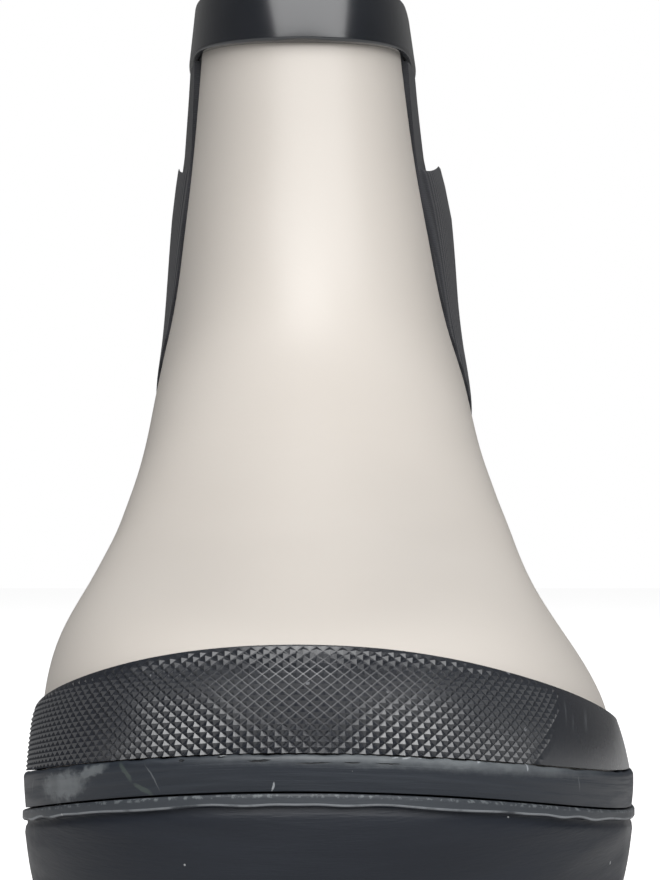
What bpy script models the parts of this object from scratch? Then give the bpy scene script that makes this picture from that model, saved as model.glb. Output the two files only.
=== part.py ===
"""A left pull-on rubber ankle boot with elastic gores, in metres: +Z up, toe to -Y, outer side to +X.

Every piece follows one last form: a stack of rings, each lying from a front point to a back point, whose
breadths come from the named sizes below. A place on it is a level, 0 at the sole to 11 at the rim, and a
turn, 0 at the toe, a quarter round on the outer side and half round at the heel.
"""
import math

import bmesh
import bpy
import numpy as np
from mathutils import Matrix

# Main sizes of the last form
LAST_LENGTH = 0.272
BALL_WIDTH = 0.099
HEEL_WIDTH = 0.066
SHAFT_WIDTH = 0.050
SHAFT_DEPTH = 0.118
INSTEP_RISE = 0.080
SHAFT_RISE = 0.0755

# Sole heights
FOREPART_THICKNESS = 0.0170
TOE_SPRING = 0.0111
HEEL_LIFT = 0.0285
ARCH_HEIGHT = 0.008

# Walls and seams
UPPER_WALL = 0.002
INSOLE_THICKNESS = 0.003
SEAM_GAP = 0.0003

# Foxing strip, toe guard and collar band
FOXING_THICKNESS = 0.0026
GUARD_THICKNESS = 0.002
GUARD_EDGE = 0.001
GUARD_HEIGHT = 0.0144
BAND_THICKNESS = 0.0018
BAND_HEIGHT = 0.0124
BAND_CROWN = 0.0016
EDGE_ROUND = 0.0008

# Outsole side, measured outwards from the last form
BEAD_HEIGHT = 0.0018
BEAD_OUTSET = 0.0034
GROOVE_OUTSET = 0.0026
WALL_OUTSET = 0.0030
TREAD_OUTSET = 0.0006
WAIST_TUCK = 0.003

# Tread
LUG_DEPTH = 0.0035
LUG_GROOVE_WIDTH = 0.005
LUG_PITCH = 0.0135

# Elastic gores
GORE_WINDOW_RISE = 0.003
OUTER_GORE_BULGE = 0.0042
INNER_GORE_BULGE = 0.0014
GORE_HEM_RISE = 0.0016

# The last form's rings, as shares of the sizes above. Up runs 0 to 1 over the instep rise and 1 to 2 over
# the shaft rise. Shaft is how far the ring follows the shaft's sizes instead of the foot's.
RING_COLUMNS = ("front_up", "back_up", "back_in", "depth", "shaft", "sag", "bow", "lean",
                "toe_round", "ball_out", "ball_in", "waist_out", "waist_in", "seat", "back_round")
RING_SHARES = (
    (0.000, 0.000, 0.007, 0.989, 0.00, 1.00, 0.000, 0.000, 0.364, 0.549, 0.416, 0.374, 0.298, 0.500, 0.410),
    (0.062, 0.080, 0.004, 0.995, 0.00, 1.00, 0.014, 0.000, 0.370, 0.551, 0.418, 0.384, 0.306, 0.508, 0.415),
    (0.170, 0.270, -0.002, 0.996, 0.00, 0.78, 0.00, 0.000, 0.380, 0.529, 0.417, 0.404, 0.326, 0.515, 0.424),
    (0.262, 0.425, 0.000, 0.967, 0.00, 0.50, 0.00, 0.000, 0.360, 0.463, 0.404, 0.394, 0.336, 0.515, 0.420),
    (0.340, 0.560, 0.009, 0.895, 0.00, 0.28, 0.00, 0.000, 0.340, 0.415, 0.374, 0.380, 0.340, 0.508, 0.410),
    (0.446, 0.700, 0.018, 0.783, 0.00, 0.12, 0.00, 0.000, 0.300, 0.402, 0.366, 0.376, 0.346, 0.492, 0.390),
    (0.590, 0.850, 0.028, 0.773, 0.25, 0.04, 0.00, 0.000, 0.311, 0.433, 0.408, 0.420, 0.400, 0.500, 0.387),
    (0.784, 1.020, 0.037, 0.785, 0.50, 0.00, 0.00, 0.000, 0.336, 0.468, 0.460, 0.490, 0.468, 0.500, 0.380),
    (1.000, 1.240, 0.042, 0.853, 0.75, 0.00, 0.00, -0.006, 0.370, 0.510, 0.508, 0.548, 0.546, 0.481, 0.370),
    (1.280, 1.470, 0.044, 0.922, 0.90, 0.00, 0.01, -0.014, 0.390, 0.536, 0.542, 0.572, 0.578, 0.461, 0.355),
    (1.590, 1.730, 0.042, 1.004, 1.00, 0.00, 0.03, -0.026, 0.400, 0.525, 0.540, 0.566, 0.578, 0.434, 0.340),
    (2.010, 2.150, 0.037, 1.000, 1.00, 0.00, 0.045, -0.046, 0.360, 0.456, 0.456, 0.490, 0.490, 0.380, 0.320),
)
RIM_LEVEL = len(RING_SHARES) - 1

# Where along a ring its breadths are given, from toe to heel
BREADTH_STATIONS = (0.0, 0.30, 0.60, 0.85, 1.0)

# Shares of the sole's length: the toe spring's end, the heel lift, the arch, the heel, the drawn-in waist
SPRING_END = 0.33
LIFT_START = 0.34
LIFT_END = 0.85
ARCH_START = 0.47
HEEL_BREAST = 0.70
WAIST_PLACE = 0.58
WAIST_SPREAD = 0.10

# Toe guard: its height along the sole, as shares of its height at the toe
GUARD_END = 0.47
GUARD_ALONG = (0.0, 0.04, 0.10, 0.20, 0.32, 0.40, 0.47)
GUARD_SHARES = (1.0, 0.875, 0.745, 0.57, 0.43, 0.33, 0.20)

# Gores seen from the side, as shares of the shaft's depth: where the middle lies behind the shaft's front,
# how far it slants back to the top, and half the breadth at foot and top. The foot's height over the heel
# seat is a share of the instep rise, and its rounding a share of the gore's height.
GORE_MIDDLE = 0.458
GORE_SLANT = 0.034
GORE_HALF_TOP = 0.275
GORE_HALF_FOOT = 0.293
GORE_FOOT_UP = 0.652
GORE_FOOT_ROUND = 0.50

# Rows of a gore from foot to top: the outer face's rise, the lip's lift above it, the inner face's rise,
# and the shares of the bulge and of the hem's thickness. The outer face doubles back at the free lip, and
# lies flat where the band covers it.
GORE_ROWS = (
    (0.015, 0.000, 0.015, 0.00, 0.2), (0.035, 0.000, 0.035, 0.03, 0.4), (0.060, 0.000, 0.060, 0.08, 0.4),
    (0.120, 0.000, 0.120, 0.14, 0.4), (0.200, 0.000, 0.200, 0.22, 0.4), (0.300, 0.000, 0.300, 0.34, 0.4),
    (0.420, 0.000, 0.420, 0.56, 0.4), (0.520, 0.000, 0.520, 0.78, 0.4), (0.610, 0.000, 0.610, 0.98, 0.4),
    (0.670, 0.020, 0.670, 0.96, 0.4), (0.692, 0.043, 0.690, 0.88, 0.4), (0.696, 0.046, 0.710, 0.80, 0.4),
    (0.700, 0.035, 0.730, 0.70, 0.4), (0.703, 0.002, 0.750, 0.60, 0.4), (0.706, -0.006, 0.770, 0.30, 0.4),
    (0.710, -0.002, 0.790, 0.04, 0.4), (0.760, 0.000, 0.820, 0.00, 0.4), (0.900, 0.000, 0.900, 0.00, 0.8),
    (0.955, 0.000, 0.955, 0.00, 1.0), (0.962, 0.000, 0.962, 0.00, 0.0), (1.000, 0.000, 1.000, 0.00, 0.0),
)
WINDOW_RISES = (0.015, 0.035, 0.06, 0.12, 0.20, 0.30, 0.42, 0.52, 0.61, 0.70, 0.80, 0.90, 1.0)
GORE_FIRST_LEVEL = 6
NEWTON_STEPS = 12

# Tread: where the cross grooves run, as shares of the sole's length
FORE_TREAD = (0.06, 0.42)
HEEL_TREAD = (0.76, 0.95)

# Facets
TURNS = 60
UPPER_ROWS = 20
GUARD_ROWS = 6
GORE_ACROSS = 8
STEP = 1e-4


def spline(knots, values, at):
    """Natural cubic curve through a table's rows at the knots: the smoothest curve that passes them all."""
    knots = np.asarray(knots, float)
    values = np.asarray(values, float)
    gaps = np.diff(knots)
    slopes = np.diff(values, axis=0) / gaps[:, None]
    matrix = np.eye(len(knots))
    target = np.zeros_like(values)
    for row in range(1, len(knots) - 1):
        matrix[row, row - 1:row + 2] = gaps[row - 1], 2 * (gaps[row - 1] + gaps[row]), gaps[row]
        target[row] = 6 * (slopes[row] - slopes[row - 1])
    bends = np.linalg.solve(matrix, target)
    cell = np.clip(np.searchsorted(knots, at) - 1, 0, len(knots) - 2)
    width = gaps[cell][:, None]
    after = ((at - knots[cell]) / gaps[cell])[:, None]
    before = 1 - after
    line = before * values[cell] + after * values[cell + 1]
    curve = (before ** 3 - before) * bends[cell] + (after ** 3 - after) * bends[cell + 1]
    return line + curve * width ** 2 / 6


def sole_spring(along):
    """How much of the toe spring a place has: all at the toe, none behind the spring's end."""
    return np.clip(1 - along / SPRING_END, 0, 1) ** 2


def sole_top(along):
    """Height of the outsole's top face: the forepart's thickness, raised by toe spring and heel lift."""
    climb = np.clip((along - LIFT_START) / (LIFT_END - LIFT_START), 0, 1)
    lift = climb * climb * (3 - 2 * climb)
    return FOREPART_THICKNESS + TOE_SPRING * sole_spring(along) + (HEEL_LIFT - FOREPART_THICKNESS) * lift


def ring_sizes():
    """The ring table in metres: shares times the foot's sizes, passing over to the shaft's further up."""
    share = dict(zip(RING_COLUMNS, np.array(RING_SHARES).T))
    width = BALL_WIDTH + (SHAFT_WIDTH - BALL_WIDTH) * share["shaft"]
    heel = HEEL_WIDTH + (SHAFT_WIDTH - HEEL_WIDTH) * share["shaft"]
    depth = LAST_LENGTH + (SHAFT_DEPTH - LAST_LENGTH) * share["shaft"]

    def rise(up):
        return np.minimum(up, 1) * INSTEP_RISE + np.maximum(up - 1, 0) * SHAFT_RISE

    return np.stack([
        rise(share["front_up"]), rise(share["back_up"]),
        LAST_LENGTH * (0.5 - share["back_in"]), depth * share["depth"],
        share["sag"], share["bow"] * SHAFT_RISE, share["lean"] * SHAFT_WIDTH,
        width * share["toe_round"], width * share["ball_out"], width * share["ball_in"],
        width * share["waist_out"], width * share["waist_in"],
        heel * share["seat"], heel * share["back_round"]], axis=1)


RING_SIZES = ring_sizes()


def form_points(level, turn):
    """Points of the last form: a cosine runs each ring from toe to heel and a sine carries its breadth."""
    level, turn = np.broadcast_arrays(np.asarray(level, float), np.asarray(turn, float))
    shape = level.shape
    level = level.ravel()
    turn = turn.ravel()
    (front_up, back_up, back, depth, sag, bow, lean, toe_round, ball_out, ball_in,
     waist_out, waist_in, seat, back_round) = spline(range(RIM_LEVEL + 1), RING_SIZES, level).T
    along = (1 - np.cos(turn)) / 2
    outer = np.sin(turn) >= 0
    swell = 2 * np.sqrt([share * (1 - share) for share in BREADTH_STATIONS[1:4]])
    breadths = np.stack([
        np.sqrt(toe_round * depth / 2),
        np.where(outer, ball_out, ball_in) / swell[0],
        np.where(outer, waist_out, waist_in) / swell[1],
        seat / swell[2],
        np.sqrt(back_round * depth / 2)], axis=1)
    weights = spline(BREADTH_STATIONS, np.eye(len(BREADTH_STATIONS)), along)
    x = lean + (weights * breadths).sum(axis=1) * np.sin(turn)
    y = back - depth * (1 - along)
    front_seat = sole_top(0.0) + SEAM_GAP
    back_seat = sole_top(1.0) + SEAM_GAP
    chord = (1 - along) * (front_seat + front_up) + along * (back_seat + back_up)
    dip = sole_top(along) + SEAM_GAP - ((1 - along) * front_seat + along * back_seat)
    z = chord + sag * dip + bow * np.sin(turn) ** 2
    return np.stack([x, y, z], axis=1).reshape(shape + (3,))


def form_slopes(level, turn):
    """How a point moves per unit of level and per unit of turn."""
    up = (form_points(level + STEP, turn) - form_points(level - STEP, turn)) / (2 * STEP)
    round_ = (form_points(level, turn + STEP) - form_points(level, turn - STEP)) / (2 * STEP)
    return up, round_


def offset_points(level, turn, distance, flat=False):
    """The form's points moved out along its normal, or along the normal's flat part for the sole."""
    level = np.asarray(level, float)
    turn = np.asarray(turn, float)
    up, round_ = form_slopes(level, turn)
    normal = np.cross(round_, up)
    if flat:
        normal[..., 2] = 0
    normal /= np.linalg.norm(normal, axis=-1, keepdims=True)
    return form_points(level, turn) + normal * np.asarray(distance, float)[..., None]


def level_along(level, turn, distance):
    """The level that lies a distance up the form from another, found by walking there in short steps."""
    level = np.asarray(level, float) + np.zeros_like(np.asarray(turn, float))
    steps = 8
    for _ in range(steps):
        up, _ = form_slopes(level, turn)
        level = level + distance / steps / np.linalg.norm(up, axis=-1)
    return level


def turn_for(along):
    """The turn on the outer side that lies at a share of the ring's length."""
    return math.acos(1 - 2 * along)


def ring_turns():
    """Evenly spaced turns, half a step off the toe so that each has a partner on the other side."""
    return (np.arange(TURNS) + 0.5) * 2 * math.pi / TURNS


def new_material(name, colour, roughness):
    """A plain material for one piece."""
    material = bpy.data.materials.new(name)
    material.use_nodes = True
    shader = material.node_tree.nodes["Principled BSDF"]
    shader.inputs["Base Color"].default_value = (*colour, 1)
    shader.inputs["Roughness"].default_value = roughness
    shader.inputs["Metallic"].default_value = 0
    return material


def skin_loops(name, loops, closed, collection, material=None):
    """Skins a run of loops with triangles. A closed run joins its ends, an open one has them filled in."""
    runs, count = loops.shape[:2]
    index = np.arange(runs * count).reshape(runs, count)
    if closed:
        index = np.vstack([index, index[:1]])
    here = index[:-1]
    there = index[1:]
    quads = np.stack([here, np.roll(here, -1, 1), np.roll(there, -1, 1), there], axis=-1).reshape(-1, 4)
    if not closed:
        half = count // 2
        for end, order in ((index[0], -1), (index[-1], 1)):
            partner = end[::-1]
            caps = np.stack([end[:half - 1], end[1:half], partner[1:half], partner[:half - 1]], axis=-1)
            quads = np.vstack([quads, caps[:, ::order]])
    triangles = np.vstack([quads[:, [0, 1, 2]], quads[:, [0, 2, 3]]])
    mesh = bpy.data.meshes.new(name)
    mesh.from_pydata(loops.reshape(-1, 3).tolist(), [], triangles.tolist())
    piece = bpy.data.objects.new(name, mesh)
    collection.objects.link(piece)
    piece.parent = datum
    if signed_volume(mesh) < 0:
        mesh.flip_normals()
    if material:
        mesh.materials.append(material)
        mesh.shade_smooth()
        mesh.set_sharp_from_angle(angle=math.radians(35))
    else:
        piece.hide_render = True
        piece.display_type = "WIRE"
    return piece


def signed_volume(mesh):
    """Volume inside a closed mesh, negative where its faces point inwards."""
    mesh.calc_loop_triangles()
    points = np.array([vertex.co for vertex in mesh.vertices])
    corners = np.array([triangle.vertices for triangle in mesh.loop_triangles])
    a, b, c = points[corners[:, 0]], points[corners[:, 1]], points[corners[:, 2]]
    return float((np.cross(a, b) * c).sum() / 6)


def cut(piece, cutter):
    """Takes a cutter's volume out of a piece."""
    boolean = piece.modifiers.new(cutter.name, "BOOLEAN")
    boolean.operation = "DIFFERENCE"
    boolean.solver = "EXACT"
    boolean.object = cutter


def profile_ring(name, profile, collection, material, flat=False):
    """A ring round the boot: a profile of levels and offsets per turn, carried round and closed."""
    turns = ring_turns()
    levels, offsets = profile(turns)
    loops = offset_points(levels, np.repeat(turns[:, None], levels.shape[1], axis=1), offsets, flat)
    return skin_loops(name, loops, True, collection, material)


def columns(*pairs):
    """Stacks (level, offset) pairs, each a number or an array over the turns, into two tables."""
    levels = [pair[0] for pair in pairs]
    offsets = [pair[1] for pair in pairs]
    size = max(np.size(value) for value in levels + offsets)
    widen = np.ones(size)
    return (np.stack([value * widen for value in levels], axis=1),
            np.stack([value * widen for value in offsets], axis=1))


def band_levels(turns):
    """The collar band's lower edge, the upper's top edge and the ledge over it, and the rim."""
    rim = RIM_LEVEL + 0 * turns
    low = level_along(rim, turns, -BAND_HEIGHT)
    ledge = level_along(rim, turns, -BAND_CROWN)
    top = level_along(rim, turns, -BAND_CROWN - SEAM_GAP)
    return low, top, ledge, rim


def find_place(y, z, side):
    """Level and turn of the form's point at a Y and Z on one side, by Newton's steps in the side view."""
    level = np.full(y.shape, (GORE_FIRST_LEVEL + RIM_LEVEL) / 2)
    turn = np.full(y.shape, side * math.pi / 2)
    for _ in range(NEWTON_STEPS):
        missing = np.stack([y, z], axis=-1) - form_points(level, turn)[..., 1:]
        up, round_ = form_slopes(level, turn)
        matrix = np.stack([up[..., 1:], round_[..., 1:]], axis=-1)
        move = np.linalg.solve(matrix, missing[..., None])[..., 0]
        level = np.clip(level + move[..., 0], 0, RIM_LEVEL)
        turn = turn + move[..., 1]
    return level, turn


def band_edge_height(y, side):
    """Height of the collar band's lower edge over a Y on one side."""
    turns = np.linspace(0.15, 0.85, 29) * math.pi * side
    low, _, _, _ = band_levels(turns)
    edge = form_points(low, turns)
    return np.interp(y, edge[:, 1], edge[:, 2])


def gore_outline(rise, across, side, clearance):
    """Y and Z of places in a gore seen from the side: upright edges closing to a round foot."""
    foot = np.sqrt(1 - (1 - np.clip(rise / GORE_FOOT_ROUND, 0, 1)) ** 2)
    half = SHAFT_DEPTH * (GORE_HALF_FOOT + (GORE_HALF_TOP - GORE_HALF_FOOT) * rise) * foot - clearance
    front = form_points(RIM_LEVEL, 0.0)[1]
    y = front + SHAFT_DEPTH * (GORE_MIDDLE + GORE_SLANT * rise) + half * (2 * across - 1)
    low = sole_top(1.0) + GORE_FOOT_UP * INSTEP_RISE + clearance
    high = band_edge_height(y, side) + GORE_WINDOW_RISE - clearance
    return y, low + (high - low) * rise


def gore_window(name, side, collection):
    """The cutter for one gore: the window's patch of the form, well through the wall."""
    rise, across = np.meshgrid(WINDOW_RISES, np.linspace(0, 1, GORE_ACROSS), indexing="ij")
    level, turn = find_place(*gore_outline(rise, across, side, 0), side)
    reach = 3 * UPPER_WALL
    outer = offset_points(level, turn, np.full(level.shape, reach))
    inner = offset_points(level, turn, np.full(level.shape, -reach))
    loops = np.concatenate([outer, inner[:, ::-1]], axis=1)
    return skin_loops(name, loops, False, collection)


def gore_panel(name, side, bulge, collection, material):
    """Elastic in the window: flush inside, bulging outside up to a free lip, then a hem up to the band."""
    outer_rise, lip_lift, inner_rise, belly, hem = np.array(GORE_ROWS).T
    across = np.linspace(0, 1, GORE_ACROSS)
    crown = np.sqrt(np.clip(4 * across * (1 - across), 0, 1))[None, :]
    wide = np.repeat(across[None, :], len(belly), axis=0)
    rise = outer_rise[:, None] + lip_lift[:, None] * crown ** 4
    stand = GORE_HEM_RISE * hem[:, None] + bulge * belly[:, None] * crown
    outer = offset_points(*find_place(*gore_outline(rise, wide, side, SEAM_GAP), side), stand)
    still = np.repeat(inner_rise[:, None], GORE_ACROSS, axis=1)
    lining = find_place(*gore_outline(still, wide, side, SEAM_GAP), side)
    inner = offset_points(*lining, np.full(wide.shape, -UPPER_WALL))
    loops = np.concatenate([outer, inner[:, ::-1]], axis=1)
    return skin_loops(name, loops, False, collection, material)


def upper_profile(turns):
    """The upper's wall: up its outer face and down its inner face."""
    _, top, _, _ = band_levels(turns)
    shares = np.linspace(0, 1, UPPER_ROWS)
    levels = shares[None, :] * top[:, None]
    levels = np.concatenate([levels, levels[:, ::-1]], axis=1)
    offsets = np.repeat([0.0, -UPPER_WALL], UPPER_ROWS)
    return levels, np.repeat(offsets[None, :], len(turns), axis=0)


def band_profile(turns):
    """The collar band's section: over the upper's outer face, across its top edge and flush inside."""
    low, _, ledge, rim = band_levels(turns)
    face = SEAM_GAP + BAND_THICKNESS
    shoulder = level_along(rim, turns, -EDGE_ROUND)
    lip = level_along(low, turns, EDGE_ROUND)
    return columns(
        (low, SEAM_GAP), (low, face - EDGE_ROUND), (lip, face), (shoulder, face),
        (rim, face - EDGE_ROUND), (rim, EDGE_ROUND - UPPER_WALL), (shoulder, -UPPER_WALL),
        (ledge, -UPPER_WALL), (ledge, SEAM_GAP))


def foxing_profile(turns):
    """The foxing strip's section: upright, with a rounded top edge, standing on the outsole's top face."""
    face = SEAM_GAP + FOXING_THICKNESS
    top = 1 + 0 * turns
    shoulder = level_along(top, turns, -EDGE_ROUND)
    return columns((0, SEAM_GAP), (0, face), (shoulder, face), (top, face - EDGE_ROUND), (top, SEAM_GAP))


def guard_loops():
    """The toe guard: from the foxing's top up to its own curved edge, round the toe from waist to waist."""
    turns = ring_turns()
    turns = np.where(turns > math.pi, turns - 2 * math.pi, turns)
    turns = np.sort(turns[np.abs(turns) < turn_for(GUARD_END)])
    along = (1 - np.cos(turns)) / 2
    bottom = level_along(1 + 0 * turns, turns, SEAM_GAP)
    height = GUARD_HEIGHT * spline(GUARD_ALONG, np.array(GUARD_SHARES)[:, None], along)[:, 0]
    top = level_along(bottom, turns, height)
    rows = np.linspace(0, 1, GUARD_ROWS)
    levels = bottom[:, None] + (top - bottom)[:, None] * rows[None, :]
    wide = np.repeat(turns[:, None], GUARD_ROWS, axis=1)
    thickness = GUARD_THICKNESS + (GUARD_EDGE - GUARD_THICKNESS) * rows[None, :]
    outer = offset_points(levels, wide, SEAM_GAP + thickness + 0 * wide)
    inner = offset_points(levels, wide, np.full(wide.shape, SEAM_GAP))
    return np.concatenate([outer, inner[:, ::-1]], axis=1)


def sole_ring(outset, height):
    """One ring of a sole piece: the form's lowest ring moved out flat, at a height per turn."""
    turns = ring_turns()
    ring = offset_points(0 * turns, turns, outset + 0 * turns, True)
    ring[:, 2] = height
    return ring


def outsole_loops():
    """The outsole from its top face down: bead, shallow groove, side wall drawing in to the tread."""
    turns = ring_turns()
    along = (1 - np.cos(turns)) / 2
    top = sole_top(along)
    floor = TOE_SPRING * sole_spring(along)
    tuck = WAIST_TUCK * np.exp(-((along - WAIST_PLACE) / WAIST_SPREAD) ** 2)
    wall = top - BEAD_HEIGHT
    return np.stack([
        sole_ring(BEAD_OUTSET - EDGE_ROUND / 4, top),
        sole_ring(BEAD_OUTSET, top - EDGE_ROUND / 2),
        sole_ring(BEAD_OUTSET, wall + EDGE_ROUND / 2),
        sole_ring(GROOVE_OUTSET, wall),
        sole_ring(WALL_OUTSET, wall - 0.12 * (wall - floor)),
        sole_ring(0.7 * WALL_OUTSET + 0.3 * TREAD_OUTSET - 0.4 * tuck, wall - 0.5 * (wall - floor)),
        sole_ring(TREAD_OUTSET - tuck, floor + EDGE_ROUND),
        sole_ring(TREAD_OUTSET - EDGE_ROUND - tuck, floor)])


def insole_loops():
    """The insole: the form's lowest ring drawn in past the upper's wall, a seam's gap over the outsole."""
    turns = ring_turns()
    along = (1 - np.cos(turns)) / 2
    base = sole_top(along) + SEAM_GAP
    inset = -UPPER_WALL - SEAM_GAP
    return np.stack([
        sole_ring(inset, base),
        sole_ring(inset, base + INSOLE_THICKNESS - EDGE_ROUND),
        sole_ring(inset - EDGE_ROUND, base + INSOLE_THICKNESS)])


def place(along):
    """Y of a share of the sole's length."""
    return LAST_LENGTH * (along - 0.5)


def arch_cutter(collection):
    """The hollow under the waist: an outline seen from the side, drawn right across the sole."""
    breast = place(HEEL_BREAST)
    start = place(ARCH_START)
    shares = np.linspace(0, 1, 9)
    outline = [(start + (breast - start) * share, ARCH_HEIGHT * math.sin(share * math.pi / 2) ** 1.5)
               for share in shares]
    outline += [(breast, -ARCH_HEIGHT), (start, -ARCH_HEIGHT)]
    curve = bpy.data.curves.new("arch_outline", "CURVE")
    curve.dimensions = "2D"
    curve.fill_mode = "BOTH"
    curve.extrude = BALL_WIDTH
    line = curve.splines.new("POLY")
    line.points.add(len(outline) - 1)
    for point, (y, z) in zip(line.points, outline):
        point.co = (y, z, 0, 1)
    line.use_cyclic_u = True
    drawn = bpy.data.objects.new("arch_outline", curve)
    collection.objects.link(drawn)
    bpy.context.view_layer.update()
    mesh = bpy.data.meshes.new_from_object(drawn.evaluated_get(bpy.context.evaluated_depsgraph_get()))
    bpy.data.objects.remove(drawn)
    mesh.transform(Matrix(((0, 0, 1, 0), (1, 0, 0, 0), (0, 1, 0, 0), (0, 0, 0, 1))))
    return finish_cutter("arch_cutter", mesh, collection)


def finish_cutter(name, mesh, collection):
    """Welds a cutter's mesh, turns it right side out and hides it."""
    shape = bmesh.new()
    shape.from_mesh(mesh)
    bmesh.ops.remove_doubles(shape, verts=shape.verts, dist=1e-6)
    bmesh.ops.recalc_face_normals(shape, faces=shape.faces)
    shape.to_mesh(mesh)
    shape.free()
    cutter = bpy.data.objects.new(name, mesh)
    collection.objects.link(cutter)
    cutter.parent = datum
    cutter.hide_render = True
    cutter.display_type = "WIRE"
    return cutter


def groove_cutters(collection):
    """Cross grooves of the tread: bars right across the sole, each tipped to follow the toe spring."""
    places = []
    for first, last in (FORE_TREAD, HEEL_TREAD):
        count = int((last - first) * LAST_LENGTH / LUG_PITCH) + 1
        places += [first + number * LUG_PITCH / LAST_LENGTH for number in range(count)]
    for number, along in enumerate(places):
        rise = TOE_SPRING * float(sole_spring(np.array(along)))
        ahead = TOE_SPRING * float(sole_spring(np.array(along - STEP)))
        slope = math.atan2(rise - ahead, STEP * LAST_LENGTH)
        shape = bmesh.new()
        bmesh.ops.create_cube(shape, size=1)
        size = Matrix.Diagonal((2 * BALL_WIDTH, LUG_GROOVE_WIDTH, 2 * LUG_DEPTH, 1))
        spot = Matrix.Translation((0, place(along), rise)) @ Matrix.Rotation(slope, 4, "X")
        bmesh.ops.transform(shape, matrix=spot @ size, verts=shape.verts)
        mesh = bpy.data.meshes.new("groove")
        shape.to_mesh(mesh)
        shape.free()
        yield finish_cutter(f"groove_cutter_{number + 1:02d}", mesh, collection)


for old in list(bpy.data.objects):
    bpy.data.objects.remove(old)

boot = bpy.data.collections.new("rubber_boot")
cutters = bpy.data.collections.new("cutters")
bpy.context.scene.collection.children.link(boot)
bpy.context.scene.collection.children.link(cutters)

# Every piece and cutter hangs from the datum
datum = bpy.data.objects.new("datum", None)
boot.objects.link(datum)

cream = new_material("cream_rubber", (0.78, 0.74, 0.69), 0.28)
navy = new_material("navy_rubber", (0.03, 0.035, 0.045), 0.35)
guard_rubber = new_material("guard_rubber", (0.06, 0.065, 0.075), 0.5)
sole_rubber = new_material("sole_rubber", (0.035, 0.04, 0.05), 0.5)
elastic = new_material("elastic", (0.04, 0.04, 0.045), 0.8)
lining = new_material("insole_foam", (0.10, 0.10, 0.11), 0.9)

outsole = skin_loops("outsole", outsole_loops(), False, boot, sole_rubber)
cut(outsole, arch_cutter(cutters))
for cutter in groove_cutters(cutters):
    cut(outsole, cutter)

skin_loops("insole", insole_loops(), False, boot, lining)

upper = profile_ring("upper", upper_profile, boot, cream)
cut(upper, gore_window("outer_gore_window", 1, cutters))
cut(upper, gore_window("inner_gore_window", -1, cutters))

gore_panel("gore_outer", 1, OUTER_GORE_BULGE, boot, elastic)
gore_panel("gore_inner", -1, INNER_GORE_BULGE, boot, elastic)

profile_ring("collar_band", band_profile, boot, navy)
profile_ring("foxing", foxing_profile, boot, guard_rubber, True)
skin_loops("toe_guard", guard_loops(), False, boot, guard_rubber)

# The boot's middle goes over the origin
pieces = [piece for piece in boot.objects if piece is not datum]
corners = np.array([vertex.co for piece in pieces for vertex in piece.data.vertices])
middle = (corners.min(axis=0) + corners.max(axis=0)) / 2
datum.location = (-middle[0], -middle[1], 0)
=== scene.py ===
"""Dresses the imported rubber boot: a left pull-on ankle boot with its toe towards -Y, in metres."""

import math

import bpy
import numpy as np
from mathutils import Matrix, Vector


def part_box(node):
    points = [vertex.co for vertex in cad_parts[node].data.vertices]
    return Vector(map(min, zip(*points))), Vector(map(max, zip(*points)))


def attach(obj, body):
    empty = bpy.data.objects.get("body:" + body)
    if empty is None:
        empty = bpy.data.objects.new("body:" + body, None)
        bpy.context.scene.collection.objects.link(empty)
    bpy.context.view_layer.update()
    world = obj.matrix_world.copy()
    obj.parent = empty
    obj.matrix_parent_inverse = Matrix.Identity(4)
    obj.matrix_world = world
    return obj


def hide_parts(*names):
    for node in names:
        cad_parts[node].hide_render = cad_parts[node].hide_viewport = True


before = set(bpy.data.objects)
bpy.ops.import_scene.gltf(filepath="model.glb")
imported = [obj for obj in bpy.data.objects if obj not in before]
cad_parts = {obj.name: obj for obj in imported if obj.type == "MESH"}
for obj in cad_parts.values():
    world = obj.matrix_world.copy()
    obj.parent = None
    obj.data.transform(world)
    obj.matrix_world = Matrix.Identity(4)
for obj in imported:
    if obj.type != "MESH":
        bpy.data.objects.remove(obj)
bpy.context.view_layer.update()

# Upper: one shell of cream rubber about 2 mm thick, dipped over a last and lined with a thin knit. It is
# open at the collar and underneath, and has a window at each ankle for the elastic. Its surface is the
# last's own form, a stack of rings that each lie from a front point to a back point.
LAST_LENGTH = 0.272
BALL_WIDTH = 0.099
HEEL_WIDTH = 0.066
SHAFT_WIDTH = 0.050
SHAFT_DEPTH = 0.118
INSTEP_RISE = 0.080
SHAFT_RISE = 0.0755
FOREPART_THICKNESS = 0.0170
TOE_SPRING = 0.0111
HEEL_LIFT = 0.0285
SPRING_END = 0.33
LIFT_START = 0.34
LIFT_END = 0.85
UPPER_WALL = 0.002
SEAM_GAP = 0.0003
BAND_CROWN = 0.0016
RING_COLUMNS = ("front_up", "back_up", "back_in", "depth", "shaft", "sag", "bow", "lean",
                "toe_round", "ball_out", "ball_in", "waist_out", "waist_in", "seat", "back_round")
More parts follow.
